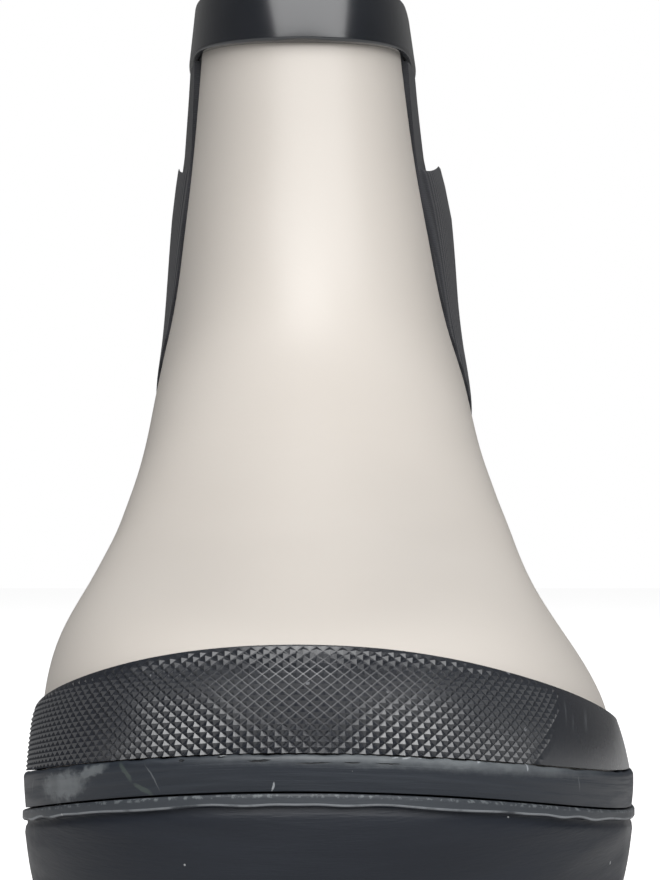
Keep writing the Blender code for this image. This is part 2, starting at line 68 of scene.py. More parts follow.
RING_SHARES = (
    (0.000, 0.000, 0.007, 0.989, 0.00, 1.00, 0.000, 0.000, 0.364, 0.549, 0.416, 0.374, 0.298, 0.500, 0.410),
    (0.062, 0.080, 0.004, 0.995, 0.00, 1.00, 0.014, 0.000, 0.370, 0.551, 0.418, 0.384, 0.306, 0.508, 0.415),
    (0.170, 0.270, -0.002, 0.996, 0.00, 0.78, 0.00, 0.000, 0.380, 0.529, 0.417, 0.404, 0.326, 0.515, 0.424),
    (0.262, 0.425, 0.000, 0.967, 0.00, 0.50, 0.00, 0.000, 0.360, 0.463, 0.404, 0.394, 0.336, 0.515, 0.420),
    (0.340, 0.560, 0.009, 0.895, 0.00, 0.28, 0.00, 0.000, 0.340, 0.415, 0.374, 0.380, 0.340, 0.508, 0.410),
    (0.446, 0.700, 0.018, 0.783, 0.00, 0.12, 0.00, 0.000, 0.300, 0.402, 0.366, 0.376, 0.346, 0.492, 0.390),
    (0.590, 0.850, 0.028, 0.773, 0.25, 0.04, 0.00, 0.000, 0.311, 0.433, 0.408, 0.420, 0.400, 0.500, 0.387),
    (0.784, 1.020, 0.037, 0.785, 0.50, 0.00, 0.00, 0.000, 0.336, 0.468, 0.460, 0.490, 0.468, 0.500, 0.380),
    (1.000, 1.240, 0.042, 0.853, 0.75, 0.00, 0.00, -0.006, 0.370, 0.510, 0.508, 0.548, 0.546, 0.481, 0.370),
    (1.280, 1.470, 0.044, 0.922, 0.90, 0.00, 0.01, -0.014, 0.390, 0.536, 0.542, 0.572, 0.578, 0.461, 0.355),
    (1.590, 1.730, 0.042, 1.004, 1.00, 0.00, 0.03, -0.026, 0.400, 0.525, 0.540, 0.566, 0.578, 0.434, 0.340),
    (2.010, 2.150, 0.037, 1.000, 1.00, 0.00, 0.045, -0.046, 0.360, 0.456, 0.456, 0.490, 0.490, 0.380, 0.320),
)
RIM_LEVEL = len(RING_SHARES) - 1
BREADTH_STATIONS = (0.0, 0.30, 0.60, 0.85, 1.0)
STEP = 1e-4
UPPER_TURNS = 384
UPPER_ROWS = 120
LINING_ROWS = 36
CREASES = ((5.1, 0.25, 0.35, 0.00035), (6.4, -0.2, 0.45, 0.00030))
CREASE_REACH = 0.55


def spline(knots, values, at):
    """Natural cubic curve through a table's rows at the knots: the smoothest curve that passes them all."""
    knots = np.asarray(knots, float)
    values = np.asarray(values, float)
    gaps = np.diff(knots)
    slopes = np.diff(values, axis=0) / gaps[:, None]
    matrix = np.eye(len(knots))
    target = np.zeros_like(values)
    for row in range(1, len(knots) - 1):
        matrix[row, row - 1:row + 2] = gaps[row - 1], 2 * (gaps[row - 1] + gaps[row]), gaps[row]
        target[row] = 6 * (slopes[row] - slopes[row - 1])
    bends = np.linalg.solve(matrix, target)
    cell = np.clip(np.searchsorted(knots, at) - 1, 0, len(knots) - 2)
    width = gaps[cell][:, None]
    after = ((at - knots[cell]) / gaps[cell])[:, None]
    before = 1 - after
    line = before * values[cell] + after * values[cell + 1]
    curve = (before ** 3 - before) * bends[cell] + (after ** 3 - after) * bends[cell + 1]
    return line + curve * width ** 2 / 6


def sole_spring(along):
    """How much of the toe spring a place has: all at the toe, none behind the spring's end."""
    return np.clip(1 - along / SPRING_END, 0, 1) ** 2


def sole_top(along):
    """Height of the outsole's top face: the forepart's thickness, raised by toe spring and heel lift."""
    climb = np.clip((along - LIFT_START) / (LIFT_END - LIFT_START), 0, 1)
    lift = climb * climb * (3 - 2 * climb)
    return FOREPART_THICKNESS + TOE_SPRING * sole_spring(along) + (HEEL_LIFT - FOREPART_THICKNESS) * lift


def ring_sizes():
    """The ring table in metres: shares times the foot's sizes, passing over to the shaft's further up."""
    share = dict(zip(RING_COLUMNS, np.array(RING_SHARES).T))
    width = BALL_WIDTH + (SHAFT_WIDTH - BALL_WIDTH) * share["shaft"]
    heel = HEEL_WIDTH + (SHAFT_WIDTH - HEEL_WIDTH) * share["shaft"]
    depth = LAST_LENGTH + (SHAFT_DEPTH - LAST_LENGTH) * share["shaft"]
    rise = [np.minimum(up, 1) * INSTEP_RISE + np.maximum(up - 1, 0) * SHAFT_RISE
            for up in (share["front_up"], share["back_up"])]
    return np.stack([
        *rise, LAST_LENGTH * (0.5 - share["back_in"]), depth * share["depth"],
        share["sag"], share["bow"] * SHAFT_RISE, share["lean"] * SHAFT_WIDTH,
        width * share["toe_round"], width * share["ball_out"], width * share["ball_in"],
        width * share["waist_out"], width * share["waist_in"],
        heel * share["seat"], heel * share["back_round"]], axis=1)


RING_SIZES = ring_sizes()


def form_points(level, turn):
    """Points of the last form: a cosine runs each ring from toe to heel and a sine carries its breadth.
    Level is 0 at the sole and 11 at the rim, and turn 0 at the toe, a quarter round outside, half round at
    the heel."""
    level, turn = np.broadcast_arrays(np.asarray(level, float), np.asarray(turn, float))
    shape = level.shape
    level = level.ravel()
    turn = turn.ravel()
    (front_up, back_up, back, depth, sag, bow, lean, toe_round, ball_out, ball_in,
     waist_out, waist_in, seat, back_round) = spline(range(RIM_LEVEL + 1), RING_SIZES, level).T
    along = (1 - np.cos(turn)) / 2
    outer = np.sin(turn) >= 0
    swell = 2 * np.sqrt([share * (1 - share) for share in BREADTH_STATIONS[1:4]])
    breadths = np.stack([
        np.sqrt(toe_round * depth / 2),
        np.where(outer, ball_out, ball_in) / swell[0],
        np.where(outer, waist_out, waist_in) / swell[1],
        seat / swell[2],
        np.sqrt(back_round * depth / 2)], axis=1)
    weights = spline(BREADTH_STATIONS, np.eye(len(BREADTH_STATIONS)), along)
    x = lean + (weights * breadths).sum(axis=1) * np.sin(turn)
    y = back - depth * (1 - along)
    front_seat = sole_top(0.0) + SEAM_GAP
    back_seat = sole_top(1.0) + SEAM_GAP
    chord = (1 - along) * (front_seat + front_up) + along * (back_seat + back_up)
    dip = sole_top(along) + SEAM_GAP - ((1 - along) * front_seat + along * back_seat)
    z = chord + sag * dip + bow * np.sin(turn) ** 2
    return np.stack([x, y, z], axis=1).reshape(shape + (3,))


def form_slopes(level, turn):
    """How a point moves per unit of level and per unit of turn, from a small step each way."""
    up = (form_points(level + STEP, turn) - form_points(level - STEP, turn)) / (2 * STEP)
    round_ = (form_points(level, turn + STEP) - form_points(level, turn - STEP)) / (2 * STEP)
    return up, round_


def middle_of(points):
    """The middle of the box round some points, as X and Y."""
    flat = points.reshape(-1, 3)[:, :2]
    return (flat.min(axis=0) + flat.max(axis=0)) / 2


def place_form():
    """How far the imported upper's middle lies from the form's own middle."""
    levels, turns = np.meshgrid(np.linspace(0, RIM_LEVEL, 89), np.linspace(0, 2 * math.pi, 241))
    shift = middle_of(np.array(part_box("upper"))) - middle_of(form_points(levels, turns))
    return np.array([shift[0], shift[1], 0])


DATUM = place_form()


def offset_points(level, turn, distance, flat=False):
    """The form's points in the frame, moved out along its normal, or along its flat part for the sole."""
    level = np.asarray(level, float)
    turn = np.asarray(turn, float)
    up, round_ = form_slopes(level, turn)
    normal = np.cross(round_, up)
    if flat:
        normal[..., 2] = 0
    normal /= np.linalg.norm(normal, axis=-1, keepdims=True)
    return form_points(level, turn) + DATUM + normal * np.asarray(distance, float)[..., None]


def level_along(level, turn, distance):
    """The level that lies a distance up the form from another, found by walking there in short steps."""
    level = np.asarray(level, float) + np.zeros_like(np.asarray(turn, float))
    steps = 8
    for _ in range(steps):
        up, _ = form_slopes(level, turn)
        level = level + distance / steps / np.linalg.norm(up, axis=-1)
    return level


def ring_turns(count):
    """Evenly spaced turns from the heel round, half a step off it so that each has a partner across."""
    return math.pi + (np.arange(count) + 0.5) * 2 * math.pi / count


def running_length(points):
    """Distance run along a line of points, from its first."""
    return np.concatenate([[0], np.cumsum(np.linalg.norm(np.diff(points, axis=0), axis=1))])


def loft(name, loops, closed, materials, smooth_angle=35):
    """A mesh over a run of loops, joined point by point. A closed run joins its ends, and an open one has
    each end filled by pairing the halves of its loop. Its UV map, ruler, holds metres along the run and
    round it."""
    runs, count = loops.shape[:2]
    index = np.arange(runs * count).reshape(runs, count)
    along = running_length(np.vstack([loops[:, 0], loops[:1, 0]]))
    across = running_length(np.vstack([loops[0], loops[0, :1]]))
    if closed:
        index = np.vstack([index, index[:1]])
    here = index[:-1]
    there = index[1:]
    quads = np.stack([here, there, np.roll(there, -1, 1), np.roll(here, -1, 1)], axis=-1).reshape(-1, 4)
    rows = len(here)
    u = np.stack([along[:rows], along[1:rows + 1], along[1:rows + 1], along[:rows]], axis=-1)
    v = np.stack([across[:-1], across[:-1], across[1:], across[1:]], axis=-1)
    ruler = np.stack(np.broadcast_arrays(u[:, None, :], v[None, :, :]), axis=-1).reshape(-1, 4, 2)
    if not closed:
        half = count // 2
        for end, order in ((index[0], 1), (index[-1], -1)):
            partner = end[::-1]
            caps = np.stack([end[:half - 1], end[1:half], partner[1:half], partner[:half - 1]], axis=-1)
            quads = np.vstack([quads, caps[:, ::order]])
            ruler = np.vstack([ruler, np.zeros((half - 1, 4, 2))])
    a, b, c, d = (loops.reshape(-1, 3)[quads[:, corner]] for corner in range(4))
    if (np.cross(a, b) * c + np.cross(a, c) * d).sum() < 0:
        quads = quads[:, ::-1]
        ruler = ruler[:, ::-1]
    return finish_mesh(name, loops.reshape(-1, 3), quads, ruler, materials, smooth_angle)


def finish_mesh(name, points, faces, ruler, materials, smooth_angle):
    """A new object from points, faces and the ruler map, smooth but for its sharp edges."""
    mesh = bpy.data.meshes.new(name)
    mesh.from_pydata(points.tolist(), [], faces.tolist())
    if ruler is not None:
        layer = mesh.uv_layers.new(name="ruler")
        layer.data.foreach_set("uv", ruler.astype(np.float32).ravel())
    for material in materials:
        mesh.materials.append(material)
    mesh.shade_smooth()
    mesh.set_sharp_from_angle(angle=math.radians(smooth_angle))
    piece = bpy.data.objects.new(name, mesh)
    bpy.context.scene.collection.objects.link(piece)
    return piece


def cut_out(piece, cutters, smooth_angle=35):
    """Takes the cutters' volumes out of a piece for good, and removes the cutters."""
    for cutter in cutters:
        boolean = piece.modifiers.new(cutter.name, "BOOLEAN")
        boolean.operation = "DIFFERENCE"
        boolean.solver = "EXACT"
        boolean.object = cutter
    graph = bpy.context.evaluated_depsgraph_get()
    mesh = bpy.data.meshes.new_from_object(piece.evaluated_get(graph))
    piece.modifiers.clear()
    piece.data = mesh
    mesh.set_sharp_from_angle(angle=math.radians(smooth_angle))
    for cutter in cutters:
        bpy.data.objects.remove(cutter)


def add_node(tree, kind, inputs=None, **settings):
    """Adds a shader node with its settings, and its inputs as values or as the sockets that feed them."""
    node = tree.nodes.new(kind)
    for name, value in settings.items():
        setattr(node, name, value)
    for socket, value in (inputs or {}).items():
        if isinstance(value, bpy.types.NodeSocket):
            tree.links.new(value, node.inputs[socket])
        else:
            node.inputs[socket].default_value = value
    return node


def math_of(tree, operation, *values):
    """The result of one sum on numbers or sockets."""
    return add_node(tree, "ShaderNodeMath", dict(enumerate(values)), operation=operation).outputs[0]


def vector_of(tree, operation, *values):
    """The result of one sum on vectors or sockets."""
    return add_node(tree, "ShaderNodeVectorMath", dict(enumerate(values)), operation=operation).outputs[0]


def noise(tree, place, scale, detail):
    """Cloudy noise from 0 to 1, with about so many clouds to the metre."""
    inputs = {"Vector": place, "Scale": scale, "Detail": detail}
    return add_node(tree, "ShaderNodeTexNoise", inputs).outputs["Fac"]


def stretch(tree, place, scale):
    """Coordinates times a scale each way, so that a pattern is drawn out where the scale is small."""
    return add_node(tree, "ShaderNodeMapping", {"Vector": place, "Scale": scale}).outputs["Vector"]


def ruler_of(tree):
    """The piece's ruler map, in metres."""
    return add_node(tree, "ShaderNodeUVMap", uv_map="ruler").outputs["UV"]


def new_material(name):
    """An empty material with its node tree, its Principled shader and the object's own coordinates."""
    material = bpy.data.materials.new(name)
    material.use_nodes = True
    tree = material.node_tree
    place = add_node(tree, "ShaderNodeTexCoord").outputs["Object"]
    return material, tree, tree.nodes["Principled BSDF"], place


def shade_between(tree, factor, low, high):
    """Fades from one colour to another, either a colour or a socket."""
    mix = add_node(tree, "ShaderNodeMix", data_type="RGBA")
    for socket, value in ((mix.inputs[0], factor), (mix.inputs[6], low), (mix.inputs[7], high)):
        if isinstance(value, bpy.types.NodeSocket):
            tree.links.new(value, socket)
        elif isinstance(value, tuple):
            socket.default_value = (*value, 1)
        else:
            socket.default_value = value
    return mix.outputs[2]


def scale_to(tree, value, low, high, from_low=0.0, from_high=1.0):
    """Maps a value's range on to another range."""
    inputs = {"Value": value, "From Min": from_low, "From Max": from_high, "To Min": low, "To Max": high}
    return add_node(tree, "ShaderNodeMapRange", inputs).outputs["Result"]


def new_group(name, inputs):
    """A node group that gives a mask, with float inputs, given with their defaults, or vector inputs."""
    tree = bpy.data.node_groups.new(name, "ShaderNodeTree")
    for socket, default in inputs.items():
        kind = "NodeSocketVector" if default is None else "NodeSocketFloat"
        made = tree.interface.new_socket(socket, in_out="INPUT", socket_type=kind)
        if default is not None:
            made.default_value = default
    tree.interface.new_socket("Mask", in_out="OUTPUT", socket_type="NodeSocketFloat")
    return tree, tree.nodes.new("NodeGroupInput"), tree.nodes.new("NodeGroupOutput")


def build_patches():
    """Soft-edged patches where the noise runs high, for rubbed places, streaks and dust."""
    inputs = {"Place": None, "Size": 20.0, "Spread": 0.5, "Edge": 0.1}
    tree, start, end = new_group("patches", inputs)
    low = math_of(tree, "SUBTRACT", start.outputs["Spread"], start.outputs["Edge"])
    high = math_of(tree, "ADD", start.outputs["Spread"], start.outputs["Edge"])
    cloud = noise(tree, start.outputs["Place"], start.outputs["Size"], 5.0)
    ramp = add_node(tree, "ShaderNodeMapRange", {"Value": cloud, "From Min": low, "From Max": high},
                    interpolation_type="SMOOTHSTEP")
    tree.links.new(ramp.outputs["Result"], end.inputs["Mask"])
    return tree


def build_specks():
    """Small round specks, some of the cells of a cell pattern holding one each."""
    inputs = {"Place": None, "Size": 200.0, "Radius": 0.15, "Share": 0.2}
    tree, start, end = new_group("specks", inputs)
    cells = add_node(tree, "ShaderNodeTexVoronoi",
                     {"Vector": start.outputs["Place"], "Scale": start.outputs["Size"]})
    near = math_of(tree, "LESS_THAN", cells.outputs["Distance"], start.outputs["Radius"])
    pick = add_node(tree, "ShaderNodeSeparateColor", {"Color": cells.outputs["Color"]})
    chosen = math_of(tree, "LESS_THAN", pick.outputs["Red"], start.outputs["Share"])
    tree.links.new(math_of(tree, "MULTIPLY", near, chosen), end.inputs["Mask"])
    return tree


def build_smear():
    """One rubbed, scratched or cracked place: an oval round its middle, sized by its reach along and across,
    turned, and faded out at a ragged edge."""
    inputs = {"Place": None, "Middle": None, "Reach": None, "Turn": 0.0, "Fade": 0.5, "Rag": 0.0005}
    tree, start, end = new_group("smear", inputs)
    place = start.outputs["Place"]
    rag = add_node(tree, "ShaderNodeTexNoise", {"Vector": place, "Scale": 900.0, "Detail": 4.0})
    away = vector_of(tree, "SUBTRACT", rag.outputs["Color"], (0.5, 0.5, 0.5))
    push = add_node(tree, "ShaderNodeVectorMath", {0: away, "Scale": start.outputs["Rag"]},
                    operation="SCALE")
    moved = vector_of(tree, "ADD", place, push.outputs[0])
    centred = vector_of(tree, "SUBTRACT", moved, start.outputs["Middle"])
    turned = add_node(tree, "ShaderNodeVectorRotate", {"Vector": centred, "Angle": start.outputs["Turn"]},
                      rotation_type="Z_AXIS")
    sized = vector_of(tree, "DIVIDE", turned.outputs[0], start.outputs["Reach"])
    far = add_node(tree, "ShaderNodeVectorMath", {0: sized}, operation="LENGTH").outputs["Value"]
    inside = math_of(tree, "SUBTRACT", 1.0, far)
    ramp = add_node(tree, "ShaderNodeMapRange", {"Value": inside, "From Max": start.outputs["Fade"]},
                    interpolation_type="SMOOTHSTEP")
    tree.links.new(ramp.outputs["Result"], end.inputs["Mask"])
    return tree


PATCHES = build_patches()
SPECKS = build_specks()
SMEAR = build_smear()


def use_group(tree, group, place, **values):
    """Places a node group in a material with its own values, and gives its mask."""
    node = add_node(tree, "ShaderNodeGroup", node_tree=group)
    tree.links.new(place, node.inputs["Place"])
    for socket, value in values.items():
        node.inputs[socket.title()].default_value = value
    return node.outputs["Mask"]


def smears(tree, place, marks, start=0.0):
    """One mask for a set of marks, each given in millimetres from a start: along, up, slope in degrees, half
    length, half width and how ragged its edge is, then the share of it that fades."""
    mask = None
    for along, up, slope, length, width, rag, fade in marks:
        one = use_group(tree, SMEAR, place, turn=-math.radians(slope), rag=rag / 1000, fade=fade,
                        middle=(start + along / 1000, up / 1000, 0), reach=(length / 1000, width / 1000, 1))
        mask = one if mask is None else math_of(tree, "MAXIMUM", mask, one)
    return mask


def lay_over(tree, colour, layers):
    """Lays tones over a colour in turn, each given as its mask, its greatest share and its tone."""
    for mask, share, tone in layers:
        colour = shade_between(tree, scale_to(tree, mask, 0, share), colour, tone)
    return colour


def bump(tree, height, distance, normal=None):
    """A bump of a real height in metres, on top of another normal if one is given."""
    inputs = {"Height": height, "Distance": distance, "Strength": 1.0}
    if normal is not None:
        inputs["Normal"] = normal
    return add_node(tree, "ShaderNodeBump", inputs).outputs["Normal"]


def paint_cream():
    """Glossy cream rubber: a faint warm cloudiness, slightly uneven gloss and a softly waving skin."""
    material, tree, shader, place = new_material("cream_rubber")
    clouds = noise(tree, place, 14.0, 3.0)
    base = shade_between(tree, clouds, (0.620, 0.572, 0.520), (0.668, 0.630, 0.585))
    tree.links.new(base, shader.inputs["Base Color"])
    gloss = noise(tree, place, 22.0, 3.0)
    tree.links.new(scale_to(tree, gloss, 0.33, 0.45), shader.inputs["Roughness"])
    waves = bump(tree, noise(tree, place, 40.0, 0.0), 0.0003)
    grain = bump(tree, noise(tree, place, 900.0, 2.0), 0.00001, waves)
    tree.links.new(grain, shader.inputs["Normal"])
    return material


def paint_lining():
    """Grey knitted lining: fine ribs, matt and a little uneven in shade."""
    material, tree, shader, place = new_material("knit_lining")
    shader.inputs["Roughness"].default_value = 0.92
    ribs = add_node(tree, "ShaderNodeTexWave", {"Vector": place, "Scale": 250.0, "Distortion": 0.6},
                    wave_type="BANDS", bands_direction="Z")
    shade = math_of(tree, "MULTIPLY", ribs.outputs["Fac"], noise(tree, place, 700.0, 3.0))
    colour = shade_between(tree, shade, (0.10, 0.10, 0.105), (0.24, 0.235, 0.23))
    tree.links.new(colour, shader.inputs["Base Color"])
    tree.links.new(bump(tree, shade, 0.0003), shader.inputs["Normal"])
    return material


CREAM = paint_cream()
LINING = paint_lining()


def creases(level, turn):
    """How far the skin stands out: less in soft troughs across the instep, which fade down the sides."""
    across = np.exp(-(np.sin(turn / 2) / CREASE_REACH) ** 2)
    trough = sum(depth * np.exp(-((level - at - slant * np.sin(turn)) / wide) ** 2)
                 for at, slant, wide, depth in CREASES)
    return -trough * across


def build_upper():
    """The shell's section carried round: up its outer face, over the top edge and down the lining."""
    turns = ring_turns(UPPER_TURNS)
    top = level_along(RIM_LEVEL + 0 * turns, turns, -BAND_CROWN - SEAM_GAP)
    rise = np.concatenate([np.linspace(0, 1, UPPER_ROWS), np.linspace(1, 0, LINING_ROWS)])
    levels = rise[None, :] * top[:, None]
    wide = np.repeat(turns[:, None], len(rise), axis=1)
    outside = np.arange(len(rise)) < UPPER_ROWS
    offsets = np.where(outside[None, :], creases(levels, wide), -UPPER_WALL)
    piece = loft("upper_shell", offset_points(levels, wide, offsets), True, (CREAM, LINING))
    slots = np.tile(np.arange(len(rise)) >= UPPER_ROWS, UPPER_TURNS)
    piece.data.polygons.foreach_set("material_index", slots.astype(np.int32))
    return piece


upper = build_upper()

# Elastic gores: a panel of ribbed black elastic is glued into each ankle window, flush inside. It bulges a
# little outside, ends in a free lip below the collar, and has a thin hem that runs up under the collar band.
BAND_HEIGHT = 0.0124
GORE_MIDDLE = 0.458
GORE_SLANT = 0.034
GORE_HALF_TOP = 0.275
GORE_HALF_FOOT = 0.293
GORE_FOOT_UP = 0.652
GORE_FOOT_ROUND = 0.50
GORE_WINDOW_RISE = 0.003
GORE_HEM_RISE = 0.0016
OUTER_GORE_BULGE = 0.0042
INNER_GORE_BULGE = 0.0014
GORE_ROWS = (
    (0.015, 0.000, 0.015, 0.00, 0.2), (0.035, 0.000, 0.035, 0.03, 0.4), (0.060, 0.000, 0.060, 0.08, 0.4),
    (0.120, 0.000, 0.120, 0.14, 0.4), (0.200, 0.000, 0.200, 0.22, 0.4), (0.300, 0.000, 0.300, 0.34, 0.4),
    (0.420, 0.000, 0.420, 0.56, 0.4), (0.520, 0.000, 0.520, 0.78, 0.4), (0.610, 0.000, 0.610, 0.98, 0.4),
    (0.670, 0.020, 0.670, 0.96, 0.4), (0.692, 0.043, 0.690, 0.88, 0.4), (0.696, 0.046, 0.710, 0.80, 0.4),
    (0.700, 0.035, 0.730, 0.70, 0.4), (0.703, 0.002, 0.750, 0.60, 0.4), (0.706, -0.006, 0.770, 0.30, 0.4),
    (0.710, -0.002, 0.790, 0.04, 0.4), (0.760, 0.000, 0.820, 0.00, 0.4), (0.900, 0.000, 0.900, 0.00, 0.8),
    (0.955, 0.000, 0.955, 0.00, 1.0), (0.962, 0.000, 0.962, 0.00, 0.0), (1.000, 0.000, 1.000, 0.00, 0.0),
)
GORE_ROW_PARTS = 5
GORE_FIRST_LEVEL = 6
GORE_ACROSS = 40
NEWTON_STEPS = 12


def find_place(y, z, side):
    """Level and turn of the form's point at a Y and Z on one side, by Newton's steps in the side view."""
    level = np.full(y.shape, (GORE_FIRST_LEVEL + RIM_LEVEL) / 2)
    turn = np.full(y.shape, side * math.pi / 2)
    for _ in range(NEWTON_STEPS):
        missing = np.stack([y, z], axis=-1) - form_points(level, turn)[..., 1:]
        up, round_ = form_slopes(level, turn)
        matrix = np.stack([up[..., 1:], round_[..., 1:]], axis=-1)
        move = np.linalg.solve(matrix, missing[..., None])[..., 0]
        level = np.clip(level + move[..., 0], 0, RIM_LEVEL)
        turn = turn + move[..., 1]
    return level, turn


def band_edge_height(y, side):
    """Height of the collar band's lower edge over a Y on one side."""
    turns = np.linspace(0.15, 0.85, 29) * math.pi * side
    edge = form_points(level_along(RIM_LEVEL + 0 * turns, turns, -BAND_HEIGHT), turns)
    return np.interp(y, edge[:, 1], edge[:, 2])


def gore_outline(rise, across, side, clearance):
    """Y and Z of places in a gore seen from the side: upright edges closing to a round foot."""
    foot = np.sqrt(1 - (1 - np.clip(rise / GORE_FOOT_ROUND, 0, 1)) ** 2)
    half = SHAFT_DEPTH * (GORE_HALF_FOOT + (GORE_HALF_TOP - GORE_HALF_FOOT) * rise) * foot - clearance
    front = form_points(RIM_LEVEL, 0.0)[1]
    y = front + SHAFT_DEPTH * (GORE_MIDDLE + GORE_SLANT * rise) + half * (2 * across - 1)
    low = sole_top(1.0) + GORE_FOOT_UP * INSTEP_RISE + clearance
    high = band_edge_height(y, side) + GORE_WINDOW_RISE - clearance
    return y, low + (high - low) * rise


def gore_window(name, side):
    """The shape to cut out for one gore: its outline carried well through the wall."""
    rises = np.concatenate([0.015 + 0.485 * np.linspace(0, 1, 40) ** 1.5, np.linspace(0.5, 1, 12)[1:]])
    rise, across = np.meshgrid(rises, np.linspace(0, 1, 12), indexing="ij")
    level, turn = find_place(*gore_outline(rise, across, side, 0), side)
    reach = 3 * UPPER_WALL
    outer = offset_points(level, turn, np.full(level.shape, reach))
    inner = offset_points(level, turn, np.full(level.shape, -reach))
    return loft(name, np.concatenate([outer, inner[:, ::-1]], axis=1), False, (CREAM,))


def build_gore(name, side, bulge, material):
    """Elastic in the window: flush inside, bulging outside up to a free lip, then a hem up to the band."""
    rows = np.linspace(0, len(GORE_ROWS) - 1, (len(GORE_ROWS) - 1) * GORE_ROW_PARTS + 1)
    table = np.array(GORE_ROWS)
    outer_rise, lip_lift, inner_rise, belly, hem = (
        np.interp(rows, range(len(table)), column) for column in table.T)
    across = np.linspace(0, 1, GORE_ACROSS)
    crown = np.sqrt(np.clip(4 * across * (1 - across), 0, 1))[None, :]
    wide = np.repeat(across[None, :], len(rows), axis=0)
    rise = outer_rise[:, None] + lip_lift[:, None] * crown ** 4
    stand = GORE_HEM_RISE * hem[:, None] + bulge * belly[:, None] * crown
    outer = offset_points(*find_place(*gore_outline(rise, wide, side, SEAM_GAP), side), stand)
    still = np.repeat(inner_rise[:, None], GORE_ACROSS, axis=1)
    lining = find_place(*gore_outline(still, wide, side, SEAM_GAP), side)
    inner = offset_points(*lining, np.full(wide.shape, -UPPER_WALL))
    return loft(name, np.concatenate([outer, inner[:, ::-1]], axis=1), False, (material,))


def paint_elastic():
    """Ribbed elastic: upright cords of black rubber thread, each bound by short cross threads."""
    material, tree, shader, place = new_material("ribbed_elastic")
    shader.inputs["Roughness"].default_value = 0.78
    shader.inputs["Sheen Weight"].default_value = 0.1
    cords = add_node(tree, "ShaderNodeTexWave", {"Vector": place, "Scale": 200.0, "Distortion": 0.0},
                     wave_type="BANDS", bands_direction="Y")
    threads = add_node(tree, "ShaderNodeTexWave", {"Vector": place, "Scale": 620.0, "Distortion": 1.5},
                       wave_type="BANDS", bands_direction="Z")
    weave = math_of(tree, "MULTIPLY_ADD", threads.outputs["Fac"], 0.3, cords.outputs["Fac"])
    colour = shade_between(tree, scale_to(tree, weave, 0, 1, 0.1, 1.2),
                           (0.010, 0.011, 0.015), (0.028, 0.029, 0.035))
    tree.links.new(colour, shader.inputs["Base Color"])
    tree.links.new(bump(tree, weave, 0.00018), shader.inputs["Normal"])
    return material


ELASTIC = paint_elastic()
cut_out(upper, [gore_window("outer_window", 1), gore_window("inner_window", -1)])
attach(upper, "root")
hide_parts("upper")
for side, node, bulge in ((1, "gore_outer", OUTER_GORE_BULGE), (-1, "gore_inner", INNER_GORE_BULGE)):
    gore = build_gore(node + "_elastic", side, bulge, ELASTIC)
    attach(gore, "root")
    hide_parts(node)

# Collar band: a strip of glossy dark navy rubber folded over the upper's top edge and glued down on both
# faces. Its outer face rolls softly at both edges.
BAND_THICKNESS = 0.0018
BAND_TURNS = 320
BAND_ROUND = 0.0008


def paint_navy():
    """Glossy navy rubber with faint clouding of the shine."""
    material, tree, shader, place = new_material("navy_rubber")
    haze = use_group(tree, PATCHES, place, size=60.0, spread=0.5, edge=0.2)
    shader.inputs["Specular IOR Level"].default_value = 0.8
    shader.inputs["Coat Weight"].default_value = 1.0
    shader.inputs["Coat Roughness"].default_value = 0.16
    tree.links.new(shade_between(tree, haze, (0.006, 0.008, 0.012), (0.010, 0.012, 0.017)),
                   shader.inputs["Base Color"])
    tree.links.new(scale_to(tree, haze, 0.20, 0.27), shader.inputs["Roughness"])
    tree.links.new(bump(tree, noise(tree, place, 90.0, 1.0), 0.0001), shader.inputs["Normal"])
    return material


def build_band():
    """The band's section carried round: up the outside, rolled over the upper's edge and flush inside."""
    turns = ring_turns(BAND_TURNS)
    rim = RIM_LEVEL + 0 * turns
    face = SEAM_GAP + BAND_THICKNESS
    roll = np.linspace(0, math.pi / 2, 5)
    section = [(-BAND_HEIGHT, SEAM_GAP)]
    section += [(-BAND_HEIGHT + BAND_ROUND * (1 - math.cos(bend)), face - BAND_ROUND * (1 - math.sin(bend)))
                for bend in roll]
    section += [(-BAND_ROUND * (1 - math.sin(bend)), face - BAND_ROUND * (1 - math.cos(bend)))
                for bend in roll]
    section += [(-BAND_ROUND * (1 - math.cos(bend)), -UPPER_WALL + BAND_ROUND * (1 - math.sin(bend)))
                for bend in roll]
    section += [(-BAND_CROWN, -UPPER_WALL), (-BAND_CROWN, SEAM_GAP)]
    walk, out = np.array(section).T
    levels = np.stack([level_along(rim, turns, distance) for distance in walk], axis=1)
    wide = np.repeat(turns[:, None], len(walk), axis=1)
    return loft("collar_band_rubber", offset_points(levels, wide, out[None, :] + 0 * wide), True, (NAVY,))


NAVY = paint_navy()
band = build_band()
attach(band, "root")
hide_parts("collar_band")

